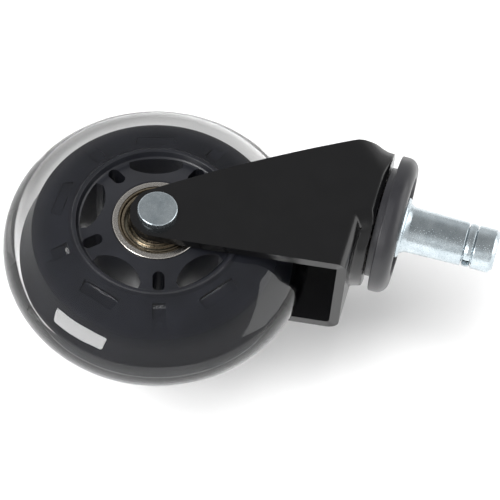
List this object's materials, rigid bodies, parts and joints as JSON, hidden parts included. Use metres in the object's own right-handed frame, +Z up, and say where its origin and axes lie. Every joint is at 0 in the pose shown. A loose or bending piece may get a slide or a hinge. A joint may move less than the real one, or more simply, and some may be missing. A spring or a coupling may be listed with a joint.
{
  "type": "swivel caster",
  "caption": "Swivel chair caster with a clear tyre on a black spoked core, sealed ball bearings, a pressed fork and a grip-ring stem.",
  "frame": {"origin": "on the stem's axis at its shoulder, where the plain shaft starts", "axes": "+Z up along the stem and the swivel axis; +X the way the wheel trails; Y along the axle, with the rivet's formed head at -Y"},
  "size_m": [0.0786, 0.0346, 0.119],
  "materials": {
    "clear_polyurethane": "clear, glossy, slightly grey cast polyurethane",
    "black_core": "moulded black nylon, satin to gloss",
    "black_paint": "gloss black enamel on pressed steel",
    "black_cap": "semi-gloss black enamel on steel",
    "zinc_steel": "bright zinc plate on turned steel",
    "bearing_steel": "ground and polished bearing steel",
    "shield_steel": "thin polished steel shield"
  },
  "bodies": {
    "stem": {"stem": "zinc_steel", "grip_ring": "zinc_steel", "top_cap": "black_cap", "lower_race": "zinc_steel"},
    "upper_balls": {"upper_swivel_balls": "bearing_steel"},
    "lower_balls": {"lower_swivel_balls": "bearing_steel"},
    "fork": {"fork": "black_paint", "axle_rivet": "zinc_steel", "centre_spacer": "zinc_steel", "side_spacer_near": "zinc_steel", "side_spacer_far": "zinc_steel", "bearing_inner_near": "bearing_steel", "bearing_inner_far": "bearing_steel"},
    "wheel": {"hub_core": "black_core", "tyre": "clear_polyurethane", "bearing_outer_near": "bearing_steel", "bearing_outer_far": "bearing_steel", "shield_near_outboard": "shield_steel", "shield_near_inboard": "shield_steel", "shield_far_outboard": "shield_steel", "shield_far_inboard": "shield_steel", "snap_ring_near_outboard": "bearing_steel", "snap_ring_near_inboard": "bearing_steel", "snap_ring_far_outboard": "bearing_steel", "snap_ring_far_inboard": "bearing_steel"},
    "near_cage": {"bearing_balls_near": "bearing_steel", "bearing_cage_near": "bearing_steel"},
    "far_cage": {"bearing_balls_far": "bearing_steel", "bearing_cage_far": "bearing_steel"}
  },
  "joints": [
    {"name": "swivel", "type": "hinge", "parent": "stem", "child": "fork", "pos_m": [0, 0, 0], "axis": [0, 0, 1], "continuous": true},
    {"name": "wheel_spin", "type": "hinge", "parent": "fork", "child": "wheel", "pos_m": [0.0233, 0, -0.0588], "axis": [0, 1, 0], "continuous": true},
    {"name": "near_cage_orbit", "type": "hinge", "parent": "fork", "child": "near_cage", "pos_m": [0.0233, 0, -0.0588], "axis": [0, 1, 0], "continuous": true},
    {"name": "far_cage_orbit", "type": "hinge", "parent": "fork", "child": "far_cage", "pos_m": [0.0233, 0, -0.0588], "axis": [0, 1, 0], "continuous": true},
    {"name": "upper_balls_orbit", "type": "hinge", "parent": "stem", "child": "upper_balls", "pos_m": [0, 0, 0], "axis": [0, 0, 1], "continuous": true},
    {"name": "lower_balls_orbit", "type": "hinge", "parent": "stem", "child": "lower_balls", "pos_m": [0, 0, 0], "axis": [0, 0, 1], "continuous": true}
  ],
  "couplings": [
    {"joint": "near_cage_orbit", "follows": "wheel_spin", "ratio": 0.6323},
    {"joint": "far_cage_orbit", "follows": "wheel_spin", "ratio": 0.6323},
    {"joint": "upper_balls_orbit", "follows": "swivel", "ratio": 0.5},
    {"joint": "lower_balls_orbit", "follows": "swivel", "ratio": 0.5}
  ]
}
